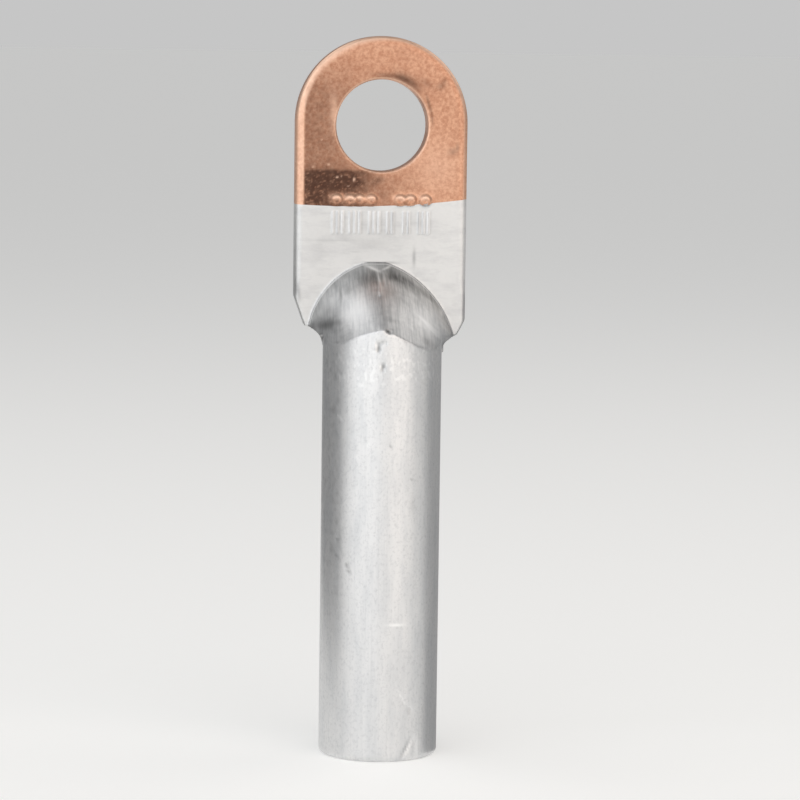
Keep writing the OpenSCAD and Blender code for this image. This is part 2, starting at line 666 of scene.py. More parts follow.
@dataclass(frozen=True)
class ForgedAluminium(MetalSkin):
    """Aluminium that the forging die dragged out: streaked, uneven in gloss, patchy grey, and darkened by
    painted shade.
    """

    streak: ClassVar[Pattern] = Pattern((0.2, 2.2, 2.6))
    cloud: ClassVar[Pattern] = Pattern((0.8, 0.9, 0.6), roughness=0.6)
    name: str = "forged_aluminium"
    clean: str = "#E5E5E5"
    washes: Sequence[tuple[Ramp, str]] = (
        (Ramp(streak, (0.38, 0.0), (0.62, 1.0)), "#CDCECF"),
        (Ramp(cloud, (0.45, 0.0), (0.75, 0.5)), "#B4B5B6"),
    )
    satin: Ramp = Ramp(cloud, (0.35, 0.44), (0.65, 0.36))
    relief: Pattern = streak
    bump: float = 0.000005
    # Dark tone: dirt and painted shade. Light tone: painted highlights.
    dark: str = "#4A4A49"
    light: str = "#FAFAFA"
    broken: Ramp = Ramp(streak, (0.35, 0.85), (0.65, 1.1))


@dataclass(frozen=True)
class PressedAluminium(MetalSkin):
    """Aluminium pressed flat and tumbled: pale satin with a fine matt grain and a few rubs across."""

    grain: ClassVar[Pattern] = Pattern((0.3, 0.3, 0.3))
    rub: ClassVar[Pattern] = Pattern((2.4, 2.4, 0.8), 4.0, 0.65)
    name: str = "pressed_aluminium"
    clean: str = "#DBDBDA"
    washes: Sequence[tuple[Ramp, str]] = ((Ramp(rub, (0.45, 0.0), (0.7, 1.0)), "#CFCFCF"),)
    satin: Ramp = Ramp(grain, (0.35, 0.4), (0.65, 0.5))
    relief: Pattern = grain
    bump: float = 0.000012
    bump_strength: float = 0.6
    # Dark tone: dirt and painted shade. Light tone: painted highlights.
    dark: str = "#6A6B6D"
    light: str = "#F6F6F6"


@dataclass(frozen=True)
class DullBore(MetalSkin):
    """Inside of the drawn tube: the same aluminium, duller and a little oily."""

    ring: ClassVar[Pattern] = Pattern((4.0, 4.0, 0.5))
    name: str = "dull_bore_aluminium"
    clean: str = "#B4B4B2"
    washes: Sequence[tuple[Ramp, str]] = ((Ramp(ring, (0.0, 0.0), (1.0, 1.0)), "#8F8F8D"),)
    satin: Ramp = Ramp(ring, (0.3, 0.4), (0.7, 0.55))


@dataclass(frozen=True)
class TumbledCopper(MetalSkin):
    """Bare copper, tumbled with small media: satin, mottled, with brown air stains and a painted dark
    reflection.
    """

    mottle: ClassVar[Pattern] = Pattern((0.3, 0.3, 0.3), roughness=0.6)
    cloud: ClassVar[Pattern] = Pattern((2.5, 2.5, 2.5), 2.0)
    name: str = "tumbled_copper"
    clean: str = "#DAA98C"
    washes: Sequence[tuple[Ramp, str]] = (
        (Ramp(mottle, (0.35, 0.0), (0.65, 1.0)), "#C08B6F"),
        (Ramp(cloud, (0.5, 0.0), (0.8, 0.4)), "#B48269"),
    )
    satin: Ramp = Ramp(mottle, (0.35, 0.34), (0.65, 0.46))
    relief: Pattern = mottle
    bump: float = 0.000016
    # Dark tone: brown stains, a painted dark reflection and painted shade. Light tone: painted highlights.
    dark: str = "#46312A"
    light: str = "#FAD2B8"


# Marks of making and use, with painted shade and painted highlights


@dataclass(frozen=True)
class SkinWork:
    """Marks, stains with painted shade, and painted highlights of one piece, and how they reach its mesh.
    """

    marks: tuple[Mark, ...]
    stains_and_shade: tuple[Stain, ...]
    gleams: tuple[Stain, ...]
    mark_facing: Point = (0.1, 0.4)
    paint_facing: Point = (0.0, 0.3)

    def sink(self, shell: Shell) -> None:
        """Presses the marks into the front of a shell.

        Args:
            shell: the shell to mark.
        """
        places, normals = shell.places(), shell.normals()
        front = smooth_step(-normals[:, 1], *self.mark_facing)
        depth = sum((m.depth * m.weight(places) for m in self.marks), np.zeros(len(places)))
        places -= normals * (front * depth)[:, None]
        shell.put(places)

    def paint(self, piece: bpy.types.Object, more_smut_and_shade: Extra, more_bright: Extra) -> None:
        """Writes the stains with the painted shade, and the painted highlights, as attributes.

        Args:
            piece: the finished piece.
            more_smut_and_shade: gives more dirt and painted shade for each vertex from its place in
                millimetres.
            more_bright: gives more painted highlight for each vertex from its place in millimetres.
        """
        mesh = piece.data
        count = len(mesh.vertices)
        places, normals = np.empty(count * 3), np.empty(count * 3)
        mesh.vertices.foreach_get("co", places)
        mesh.vertices.foreach_get("normal", normals)
        places = places.reshape(-1, 3) / MM
        front = smooth_step(-normals.reshape(-1, 3)[:, 1], *self.paint_facing)
        # dirt and painted shade; the line after holds the painted highlights
        smut = front * sum((s.weight(places) for s in self.stains_and_shade), more_smut_and_shade(places))
        bright = front * sum((s.weight(places) for s in self.gleams), more_bright(places))
        for grain, values in ((Grain.SMUT_AND_SHADE, smut), (Grain.BRIGHT, bright)):
            layer = mesh.attributes.new(grain.value, "FLOAT", "POINT")
            layer.data.foreach_set("value", np.clip(values, 0.0, 1.0).astype(np.float32))


@dataclass(frozen=True)
class Stamp:
    """Plain raised marks on the palm: beads along the weld, each with a dimple, and bars below it."""

    beads_x: tuple[float, ...] = (-4.15, -2.9, -2.05, -0.95, 1.75, 2.7, 4.1)
    bead_z: float = 51.36
    dimple_z: float = 51.27
    bead_half: float = 0.06
    bead_width: float = 1.0
    bead_depth: float = -0.3
    bead_power: float = 3.5
    dimple_half: float = 0.04
    dimple_width: float = 0.44
    dimple_depth: float = 0.13
    bars_x: tuple[float, ...] = (
        -4.5, -4.05, -3.6, -2.9, -2.45, -2.0, -1.1, -0.65, -0.2, 0.6, 1.05, 2.1, 2.55, 3.5, 3.95, 4.4,
    )
    bar_top: float = 50.2
    bar_foot: float = 48.3
    bar_width: float = 0.24
    bar_depth: float = -0.06

    def bars(self) -> tuple[Mark, ...]:
        """The upright bars, all alike."""
        ends = (((x, self.bar_top), (x, self.bar_foot)) for x in self.bars_x)
        return tuple(Mark(top, foot, self.bar_width, self.bar_depth) for top, foot in ends)

    def bar_weight(self, places: np.ndarray) -> np.ndarray:
        """How strongly the bars hold at each place."""
        return sum((bar.weight(places) for bar in self.bars()), np.zeros(len(places)))

    def row(self, half: float, height: float, *shape: float) -> tuple[Mark, ...]:
        """A short level mark at the place of each bead.

        Args:
            half: how far each mark reaches to either side.
            height: height of the row.
            shape: width, depth and, where given, power of each mark.

        Returns:
            The marks from left to right.
        """
        return tuple(Mark((x - half, height), (x + half, height), *shape) for x in self.beads_x)

    def beads(self) -> tuple[Mark, ...]:
        """The beads and the dimples on them."""
        domes = self.row(self.bead_half, self.bead_z, self.bead_width, self.bead_depth, self.bead_power)
        return domes + self.row(self.dimple_half, self.dimple_z, self.dimple_width, self.dimple_depth)

    def bead_clean_and_shade(self) -> tuple[Stain, ...]:
        """Clean metal on the beads, and painted shade in each dimple."""
        clean = (Stain((x, 51.4), (0.6, 0.5), -0.9) for x in self.beads_x)
        return (*clean, *(Stain((x, 51.25), (0.2, 0.15), 0.8) for x in self.beads_x))

    def bead_gleams(self) -> tuple[Stain, ...]:
        """The painted highlight on top of each bead."""
        return tuple(Stain((x, 51.6), (0.42, 0.22), 0.9) for x in self.beads_x)


STAMP = Stamp()
ALUMINIUM_MARKS = (
    Mark((-0.38, 36.65), (-0.36, 36.4), 0.42, 0.08),
    Mark((-0.86, 38.6), (-0.8, 38.1), 0.4, 0.12),
    Mark((-0.45, 38.75), (-0.2, 38.75), 0.45, 0.06),
    Mark((-1.15, 38.7), (-1.1, 38.4), 0.3, -0.04),
    Mark((0.0, 39.85), (0.25, 39.7), 0.35, 0.12),
    Mark((-4.78, 32.4), (-4.62, 32.1), 0.3, 0.08),
    Mark((-5.2, 31.3), (-5.15, 30.9), 0.4, 0.09),
    Mark((-3.7, 30.37), (-2.72, 30.45), 0.2, 0.02),
    Mark((0.44, 29.32), (0.44, 29.2), 0.28, 0.05),
    Mark((-4.25, 20.55), (-4.25, 20.45), 0.3, 0.06),
    Mark((-3.45, 18.3), (-3.45, 18.1), 0.26, 0.05),
    Mark((-3.3, 17.65), (-3.2, 17.5), 0.28, 0.05),
    Mark((0.4, 12.85), (1.8, 12.8), 0.22, -0.01),
    Mark((1.5, 6.6), (2.3, 5.1), 0.2, 0.03),
    Mark((2.4, 4.95), (2.55, 4.75), 0.32, 0.08),
    Mark((2.75, 2.2), (1.9, 0.6), 0.34, 0.09),
    Mark((3.1, 2.0), (3.0, 0.5), 0.3, 0.06),
    Mark((-0.25, 44.6), (-0.42, 42.9), 0.24, -0.06),
    Mark((0.14, 44.6), (0.1, 43.7), 0.2, -0.04),
    *STAMP.bars(),
    *STAMP.beads(),
)
# Dark spots at dents and nicks, thin dark lines and a grey haze on the palm, and painted shade on the nose:
# along the crest and the dark chord above it, on the facets and at the neck's foot.
ALUMINIUM_STAINS_AND_SHADE = (
    Stain((-0.38, 36.5), (0.2, 0.35), 0.7),
    Stain((-3.45, 18.2), (0.14, 0.18), 0.5),
    Stain((-3.26, 17.58), (0.18, 0.14), 0.5),
    Stain((-4.25, 20.5), (0.14, 0.14), 0.35),
    Stain((-4.31, 19.0), (0.12, 0.14), 0.4),
    Stain((0.44, 29.26), (0.12, 0.12), 0.3),
    Stain((2.46, 26.2), (0.1, 0.12), 0.5),
    Stain((2.55, 23.8), (0.25, 0.7), 0.15),
    Stain((2.5, 4.85), (0.12, 0.12), 0.6),
    Stain((2.1, 1.2), (0.12, 0.9), 0.4, -28),
    Stain((-5.7, 38.6), (0.3, 0.4), 0.95),
    Stain((-0.8, 38.25), (0.2, 0.4), 0.6),
    Stain((0.1, 39.8), (0.28, 0.16), 0.85, -25),
    Stain((-4.7, 32.25), (0.16, 0.22), 0.4),
    Stain((3.12, 46.0), (0.14, 0.8), 0.45),
    Stain((-7.68, 42.9), (0.22, 0.9), 0.45, 8),
    Stain((-4.7, 47.59), (2.6, 0.07), 0.16),
    Stain((-2.4, 46.55), (0.5, 0.06), 0.22),
    Stain((-0.6, 47.3), (1.6, 0.35), 0.1),
    Stain((-1.5, 47.2), (4.5, 1.6), 0.1),
    Stain((-0.2, 49.2), (4.8, 1.2), 0.1),
    Stain((-6.0, 46.0), (1.6, 5.0), 0.05),
    Stain((-1.5, 44.15), (1.2, 0.5), 0.5, 22),
    Stain((-0.4, 44.1), (0.7, 0.6), 0.4),
    Stain((0.9, 44.3), (1.0, 0.36), 0.5, -14),
    Stain((2.2, 43.7), (1.2, 0.45), 0.36, -32),
    Stain((-0.1, 45.52), (1.5, 0.09), 0.8),
    Stain((-3.9, 42.6), (0.14, 0.7), 0.4),
    Stain((-3.2, 43.1), (0.5, 0.4), 0.3, 35),
    Stain((-5.4, 39.9), (0.75, 0.45), 0.6, 15),
    Stain((-4.5, 40.3), (0.7, 0.28), 0.35, 10),
    Stain((0.6, 40.7), (0.7, 0.18), 0.2, -15),
    Stain((4.0, 38.6), (1.1, 0.35), 0.25, -38),
)
# Painted highlights: on the nose's facets, along its crest and ridge, and on the edges of dents and
# scratches down the barrel.
ALUMINIUM_GLEAMS = (
    Stain((-2.4, 41.6), (0.9, 1.2), 0.6),
    Stain((-4.9, 41.7), (0.5, 0.9), 0.35, -25),
    Stain((-3.7, 40.9), (0.6, 0.8), 0.4),
    Stain((-0.33, 43.75), (0.09, 1.0), 1.0, 6),
    Stain((0.12, 44.2), (0.08, 0.5), 0.8),
    Stain((-0.85, 45.08), (0.7, 0.13), 1.0, -22),
    Stain((0.55, 45.12), (0.6, 0.1), 0.7, 20),
    Stain((4.6, 40.0), (1.6, 0.7), 0.5, -42),
    Stain((3.9, 40.3), (1.3, 0.14), 0.7, -42),
    Stain((4.4, 39.6), (1.0, 0.12), 0.6, -42),
    Stain((-1.0, 38.5), (0.12, 0.4), 0.8),
    Stain((-0.62, 36.6), (0.1, 0.3), 0.8),
    Stain((-4.03, 31.7), (0.1, 0.3), 0.9, 20),
    Stain((-4.3, 31.9), (0.08, 0.25), 0.8, 20),
    Stain((-1.56, 29.4), (0.14, 0.12), 0.8),
    Stain((-2.6, 28.2), (0.12, 0.2), 0.6),
    Stain((-2.33, 34.87), (0.3, 0.12), 0.7, -20),
    Stain((1.1, 12.82), (0.8, 0.1), 1.0),
    Stain((2.62, 4.95), (0.1, 0.14), 1.0),
    Stain((1.75, 6.0), (0.07, 0.8), 0.7, 28),
    Stain((2.5, 1.35), (0.1, 0.9), 0.9, -28),
    Stain((3.2, 1.2), (0.1, 0.8), 0.7),
)
# Brown air stains near the top and the right edge, and from the stamp clean metal on the beads and painted
# shade in their dimples.
COPPER_STAINS_AND_SHADE = (
    Stain((0.4, 62.85), (1.2, 0.26), 0.46, -4),
    Stain((1.9, 62.5), (0.9, 0.4), 0.56, -24),
    Stain((3.0, 61.85), (0.8, 0.42), 0.42, -44),
    Stain((2.2, 62.75), (1.4, 0.5), 0.2, -30),
    Stain((4.1, 62.2), (0.7, 0.35), 0.25, -30),
    Stain((4.3, 60.3), (0.12, 0.8), 0.6, 16),
    Stain((4.62, 59.0), (0.1, 0.7), 0.4, 6),
    Stain((5.45, 61.95), (0.45, 0.34), 0.36, 30),
    Stain((5.75, 62.5), (0.2, 0.4), 0.24, -20),
    Stain((6.6, 55.9), (0.42, 0.32), 0.42, 20),
    Stain((7.05, 56.3), (0.16, 0.34), 0.34),
    *STAMP.bead_clean_and_shade(),
)
# Painted highlights on the small lumps, beside the hole's left edge and on top of each bead, and a broad
# painted sheen low on the right.
COPPER_GLEAMS = (
    Stain((-4.14, 53.44), (0.1, 0.08), 0.8),
    Stain((-3.75, 53.5), (0.06, 0.06), 0.5),
    Stain((-2.56, 53.23), (0.08, 0.16), 0.9),
    Stain((-4.94, 54.61), (0.1, 0.08), 0.7),
    Stain((-6.4, 54.37), (0.1, 0.08), 0.5),
    Stain((-3.1, 52.6), (0.07, 0.06), 0.5),
    Stain((-5.6, 56.9), (0.08, 0.08), 0.5),
    Stain((-4.5, 59.4), (0.35, 1.7), 0.4),
    *STAMP.bead_gleams(),
    Stain((5.2, 54.4), (2.2, 2.6), 0.24),
)


@dataclass(frozen=True)
class DieMarksAndPaintedLight:
    """Painted marks on the aluminium: drag marks, flecks and rubs, with painted shade and painted
    highlights on the nose and by the bars. The slant is in degrees.

    A pair is where a ramp starts and ends: in millimetres, or in the noise's own numbers where it is named
    levels. A share is how strong a mark is at most.
    """

    barrel_top: float = 37.6
    palm_front: float = 2.9
    bar_front: float = 3.0
    bar_shift: float = 0.2
    bar_shade: float = 0.15
    bar_gleam: float = 0.2
    arch_depths: Point = (0.0, 2.2)
    arch_thinning: Point = (2.5, 2.85)
    arch_share: float = 0.3
    right_rise: Point = (-0.5, 1.5)
    right_fall: Point = (4.6, 6.0)
    right_heights: Point = (40.5, 42.5)
    right_share: float = 0.16
    fleck_sides: Point = (3.0, 4.4)
    fleck_heights: Point = (9.0, 16.0)
    fleck_share: float = 0.3
    drag_sides: Point = (0.2, 1.6)
    drag_heights: Point = (38.0, 38.8)
    drag_levels: Point = (-0.3, 0.4)
    drag_slant: float = -42.0
    drag_shade: float = 0.2
    drag_gleam: float = 0.5
    seam_depth: float = 0.2
    seam_width: float = 0.09
    seam_rise: Point = (39.0, 40.0)
    seam_fall: Point = (45.9, 46.2)
    seam_sides: Point = (6.4, 6.9)
    rub_rise: Point = (34.2, 35.4)
    rub_fall: Point = (38.0, 38.4)
    rub_levels: Point = (0.1, 0.5)
    rub_share: float = 0.4
    patches: Mottle = Mottle((1.1, 1.4, 1.2), 4.0)
    flecks: Mottle = Mottle((0.34, 0.34, 0.55), 11.0)
    rubs: Mottle = Mottle((0.3, 0.3, 0.45), 9.0)
    drag_patches: Mottle = Mottle((1.6, 1.6, 1.2), 17.0)
    drag_lines: Mottle = Mottle((1.6, 1.6, 0.3), 13.0)

    def drags(self, places: np.ndarray) -> np.ndarray:
        """The slanting drag marks on the right facet of the nose, painted as light and dark streaks:
        highlight above 0, shade below.

        Args:
            places: one row of x, y, z in millimetres for each vertex.

        Returns:
            About -1 to 1 for each vertex, 0 away from the facet.
        """
        side = smooth_step(places[:, 0], *self.drag_sides) * smooth_step(places[:, 2], *self.drag_heights)
        patches = smooth_step(self.drag_patches.at(places), *self.drag_levels)
        return side * patches * self.drag_lines.at(turned(places, self.drag_slant))

    def smut(self, places: np.ndarray) -> np.ndarray:
        """Painted shade under the arch and on the nose's right facet, the barrel's dark flecks, the dark
        side of the drag marks and painted shade beside the bars.

        Args:
            places: one row of x, y, z in millimetres for each vertex.

        Returns:
            The darkening for each vertex.
        """
        across, depth, height = places.T
        forged = (height > self.barrel_top) * (depth < self.palm_front - 0.05)
        under = smooth_step(depth, *self.arch_depths) * (1 - 0.6 * smooth_step(depth, *self.arch_thinning))
        right = smooth_step(across, *self.right_rise) * fade(across, *self.right_fall)
        right *= smooth_step(height, *self.right_heights)
        patchy = 1 + 0.7 * self.patches.at(places)
        # painted shade under the arch and on the right facet of the nose
        arch_and_facet_shade = forged * patchy * (self.arch_share * under + self.right_share * right)
        edge = smooth_step(-across, *self.fleck_sides) * (height < self.barrel_top) * (depth < 0)
        edge *= smooth_step(height, *self.fleck_heights)
        flecks = edge * np.maximum(self.flecks.at(places), 0.0)
        # the dark side of the drag marks, painted shade
        drags = forged * np.maximum(-self.drags(places), 0.0)
        # painted shade just right of each bar
        bars = STAMP.bar_weight(places - (self.bar_shift, 0.0, 0.0)) * (depth < self.bar_front)
        return self.bar_shade * bars + self.fleck_share * flecks + self.drag_shade * drags + arch_and_facet_shade

    def gleam(self, places: np.ndarray) -> np.ndarray:
        """Painted highlights where the nose runs into the palm, on the light side of the drag marks and on
        the bars, and rubs below the nose.

        Args:
            places: one row of x, y, z in millimetres for each vertex.

        Returns:
            The gleam for each vertex.
        """
        across, depth, height = places.T
        # painted highlight along the line where the nose runs into the palm
        line = np.exp(-(((depth - self.palm_front + self.seam_depth) / self.seam_width) ** 2))
        line *= smooth_step(height, *self.seam_rise) * fade(height, *self.seam_fall)
        line *= fade(np.abs(across), *self.seam_sides)
        rubs = smooth_step(self.rubs.at(places), *self.rub_levels) * (depth < 0)
        rubs *= smooth_step(height, *self.rub_rise) * fade(height, *self.rub_fall)
        forged = (height > self.barrel_top) * (depth < self.palm_front - 0.3)
        # the light side of the drag marks, painted highlight
        drags = forged * np.maximum(self.drags(places), 0.0)
        # a painted highlight on each bar
        bars = STAMP.bar_weight(places) * (depth < self.bar_front)
        return line + self.rub_share * rubs + self.drag_gleam * drags + self.bar_gleam * bars


@dataclass(frozen=True)
class CopperShadeAndHighlights:
    """Painted marks on the copper: a painted dark reflection, darker sides and painted highlights along the
    rims.

    A pair is where a ramp starts and ends: in millimetres, or in the noise's own numbers where it is named
    levels. A share is how strong a mark is at most.
    """

    end_z: float = 58.5
    hole_z: float = 58.25
    hole_r: float = 4.25
    inside_rim: Point = (-7.3, -7.1)
    shade_depth: float = 3.6
    patch_top: Point = (53.95, 54.3)
    patch_right: Point = (-2.9, 0.9)
    patch_share: float = 0.88
    core_z: float = 53.05
    core_half: Point = (0.45, 1.15)
    core_right: Point = (-2.6, -1.4)
    core_share: float = 0.08
    darker_side_right: Point = (-6.0, 1.5)
    darker_side_top: Point = (60.0, 66.0)
    darker_side_share: float = 0.42
    low_top: Point = (52.0, 55.5)
    low_right: Point = (1.0, 5.0)
    low_share: float = 0.24
    dot_levels: Point = (0.25, 0.5)
    haze: float = 0.05
    darkest: float = 0.94
    rim_depth: float = 3.7
    rim_reach: float = 7.55
    rim_outer: Point = (7.6, 7.85)
    rim_left: Point = (-5.0, 4.0)
    rim_broader: float = 0.38
    soft_height: float = 5.0
    arc_rise: Point = (0.0, 2.5)
    glint_x: float = 5.2
    glint_half: float = 1.6
    glint_rise: Point = (1.5, 4.0)
    hole_edge: Point = (0.1, 0.25)
    fine: Mottle = Mottle((0.28, 0.28, 0.28), 3.0)
    broad: Mottle = Mottle((0.9, 0.9, 0.7), 8.0)
    dots: Mottle = Mottle((0.16, 0.16, 0.16), 5.0)
    rubs: Mottle = Mottle((0.5, 0.5, 0.8), 6.0)

    def smut(self, places: np.ndarray) -> np.ndarray:
        """A painted dark reflection over the weld's left half, and the copper darker towards the left and
        the bottom.

        Args:
            places: one row of x, y, z in millimetres for each vertex.

        Returns:
            Both darkenings for each vertex, for the front only.
        """
        across, depth, up = places.T
        fine, broad = self.fine.at(places), self.broad.at(places)
        dots = smooth_step(self.dots.at(places), *self.dot_levels)
        inside = smooth_step(across, *self.inside_rim) * (depth < self.shade_depth)
        edge = across + 1.5 * broad + 0.9 * fine
        top = up + 0.1 * broad + 0.06 * fine
        # painted dark reflection over the weld's left half, with a darker core and lighter dots
        patch = fade(top, *self.patch_top) * fade(edge, *self.patch_right)
        core = fade(np.abs(up - self.core_z), *self.core_half) * fade(edge, *self.core_right)
        # darker towards the left, and towards the bottom
        darker_side = fade(across, *self.darker_side_right) * fade(up, *self.darker_side_top)
        low = fade(up, *self.low_top) * fade(across, *self.low_right)
        dark_reflection = self.patch_share + self.core_share * core + 0.2 * fine - 0.26 * dots
        around = (self.darker_side_share + 0.14 * fine) * darker_side + (self.low_share + 0.1 * fine) * low + self.haze
        return inside * np.clip((1 - patch) * around + patch * dark_reflection, 0.0, self.darkest)

    def gleam(self, places: np.ndarray) -> np.ndarray:
        """Painted highlights: a band along the front rim, broadest on the left, strongest at the upper
        right and mottled, and a line round the hole's edge.

        Args:
            places: one row of x, y, z in millimetres for each vertex.

        Returns:
            The gleam for each vertex.
        """
        across, depth, up = places.T
        rise = np.maximum(up - self.end_z, 0.0)
        reach = np.hypot(across, rise)
        front = depth < self.rim_depth
        side = smooth_step(-across, *self.rim_left)
        soft = 0.14 + 0.4 * smooth_step(up, self.end_z, self.end_z + self.soft_height)
        # painted highlight along the front rim
        band = smooth_step(reach - (self.rim_reach - self.rim_broader * side), 0.0, soft) * front
        mottle = 0.85 + 0.3 * self.rubs.at(places)
        # painted highlight at the hole's edge
        ring = fade(np.hypot(across, up - self.hole_z) - self.hole_r, *self.hole_edge)
        glint = np.exp(-(((across - self.glint_x) / self.glint_half) ** 2))
        upper = glint * smooth_step(rise, *self.glint_rise)
        arc = smooth_step(rise, *self.arc_rise)
        outer = smooth_step(reach, *self.rim_outer) * front
        strength = 0.3 + 0.25 * side + 0.45 * upper + 0.15 * arc
        return band * mottle * strength + 0.55 * outer * arc + 0.7 * ring


# The two metals


@dataclass
class AluminiumBody:
    """Barrel, forged nose and lower palm: one piece of aluminium."""

    barrel_r: float = 5.5
    bore_r: float = 3.0
    bore_depth: float = 31.0
    drill_rise: float = 1.80
    mouth_round: float = 0.5
    mouth_steps: int = 6
    mouth_chamfer: float = 0.3
    face_rings: Sequence[float] = (4.4, 3.8)
    barrel_top: float = 37.6
    palm_front: float = 2.9
    turns: int = 168
    ring_height: float = 0.22
    bore_rings: int = 8
    sharp_angle: float = 44.0
    bore_catch: float = 0.05
    drill_catch: float = 0.1
    drawn_reach: float = 2.2
    drawn_catch: float = 0.035
    forged_drop: float = 0.2
    forged_catch: float = 0.02
    forged_facing: float = 0.3
    pressed_drop: float = 0.5
    work: SkinWork = SkinWork(ALUMINIUM_MARKS, ALUMINIUM_STAINS_AND_SHADE, ALUMINIUM_GLEAMS)
    painter: DieMarksAndPaintedLight = DieMarksAndPaintedLight()

    def tube(self, join: float) -> bmesh.types.BMesh:
        """Spins the barrel up to the join, with its bore and its drilled point.

        Args:
            join: height of the open upper rim.

        Returns:
            The barrel, open at its upper rim.
        """
        bm = bmesh.new()
        rings = round((join - self.mouth_round) / self.ring_height)
        profile = [
            (self.barrel_r, join + (self.mouth_round - join) * i / rings) for i in range(rings + 1)
        ]
        bends = [math.radians(90 / self.mouth_steps * (i + 1)) for i in range(self.mouth_steps)]
        size = self.mouth_round
        ways = ((1 - math.cos(bend), 1 - math.sin(bend)) for bend in bends)
        profile += [(self.barrel_r - size * inward, size * upward) for inward, upward in ways]
        profile += [(r, 0.0) for r in (*self.face_rings, self.bore_r + self.mouth_chamfer)]
        rise = (self.bore_depth - self.mouth_chamfer) / self.bore_rings
        profile += [(self.bore_r, self.mouth_chamfer + rise * i) for i in range(self.bore_rings + 1)]
        profile += [(self.bore_r * (1 - t), self.bore_depth + self.drill_rise * t) for t in (0.5, 1.0)]
        verts = [bm.verts.new((r, 0.0, z)) for r, z in profile]
        edges = [bm.edges.new(pair) for pair in zip(verts, verts[1:])]
        bmesh.ops.spin(
            bm,
            geom=verts + edges,
            axis=(0, 0, 1),
            cent=(0, 0, 0),
            angle=2 * math.pi,
            steps=self.turns,
            use_merge=True,
        )
        bmesh.ops.remove_doubles(bm, verts=bm.verts[:], dist=MERGE)
        return bm

    def build(self, blank: bpy.types.Mesh, join: float, weld: WeldLine) -> bpy.types.Object:
        """Builds and dresses the aluminium.

        Args:
            blank: the fine skin above the join.
            join: height of the join between the spun barrel and the skin.
            weld: the weld line.

        Returns:
            The finished piece.
        """
        upper = Shell(bmesh.new())
        upper.bm.from_mesh(blank)
        weld.part(upper, keep_above=False)
        part = bpy.data.meshes.new("upper_part")
        upper.bm.to_mesh(part)
        upper.bm.free()
        shell = Shell(self.tube(join))
        shell.bm.from_mesh(part)
        bmesh.ops.bridge_loops(shell.bm, edges=shell.rim(join))
        bmesh.ops.recalc_face_normals(shell.bm, faces=shell.bm.faces[:])
        self.work.sink(shell)
        piece = shell.finish("aluminium_body", self.sharp_angle)
        self.dress(piece)
        return piece

    def zone(self, centre: Vector, normal: Vector) -> Zone:
        """Tells how the surface at a place was made.

        Args:
            centre: the place in millimetres.
            normal: the outward normal there.

        Returns:
            The zone of the surface.
        """
        radius = math.hypot(centre.x, centre.y)
        drill_top = self.bore_depth + self.drill_rise + self.drill_catch
        if radius < self.bore_r + self.bore_catch and centre.z < drill_top:
            return Zone.BORE
        if centre.z < self.barrel_top + self.drawn_reach and abs(radius - self.barrel_r) < self.drawn_catch:
            return Zone.DRAWN
        forward = centre.y < self.palm_front - self.forged_catch and normal.y < self.forged_facing
        if forward and centre.z > self.barrel_top - self.forged_drop:
            return Zone.FORGED
        return Zone.PRESSED if centre.z > self.barrel_top - self.pressed_drop else Zone.DRAWN

    def dress(self, piece: bpy.types.Object) -> None:
        """Gives each surface its finish.

        Args:
            piece: the finished piece.
        """
        for finish in (DrawnAluminium(), ForgedAluminium(), PressedAluminium(), DullBore()):
            piece.data.materials.append(finish.build())
        for polygon in piece.data.polygons:
            polygon.material_index = self.zone(polygon.center / MM, polygon.normal).value
        self.work.paint(piece, self.painter.smut, self.painter.gleam)
        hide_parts("aluminium_barrel")
        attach(piece, "root")


@dataclass
class CopperEnd:
    """The copper end of the palm, with the stud hole."""

    sharp_angle: float = 60.0
    work: SkinWork = SkinWork(STAMP.beads(), COPPER_STAINS_AND_SHADE, COPPER_GLEAMS)
    painter: CopperShadeAndHighlights = CopperShadeAndHighlights()

    def build(self, blank: bpy.types.Mesh, weld: WeldLine) -> bpy.types.Object:
        """Builds and dresses the copper.

        Args:
            blank: the fine skin above the join.
            weld: the weld line.

        Returns:
            The finished piece.
        """
        shell = Shell(bmesh.new())
        shell.bm.from_mesh(blank)
        weld.part(shell, keep_above=True)
        bmesh.ops.recalc_face_normals(shell.bm, faces=shell.bm.faces[:])
        self.work.sink(shell)
        piece = shell.finish("copper_end", self.sharp_angle)
        piece.data.materials.append(TumbledCopper().build())
        self.work.paint(piece, self.painter.smut, self.painter.gleam)
        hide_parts("copper_palm")
        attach(piece, "root")
        return piece


# Studio


def glowing_board(name: str, tone: str, roughness: float, glow: float) -> bpy.types.Material:
    """Makes a plain matt material that also glows white.

    Args:
        name: the material's name.
        tone: its sRGB colour.
        roughness: how matt it is.
        glow: the strength of its own light.

    Returns:
        The material.
    """
    material = bpy.data.materials.new(name)
    material.use_nodes = True
    inputs = material.node_tree.nodes["Principled BSDF"].inputs
    inputs["Base Color"].default_value = linear(tone)
    inputs["Roughness"].default_value = roughness
    inputs["Emission Color"].default_value = linear("#FFFFFF")
    inputs["Emission Strength"].default_value = glow
    return material


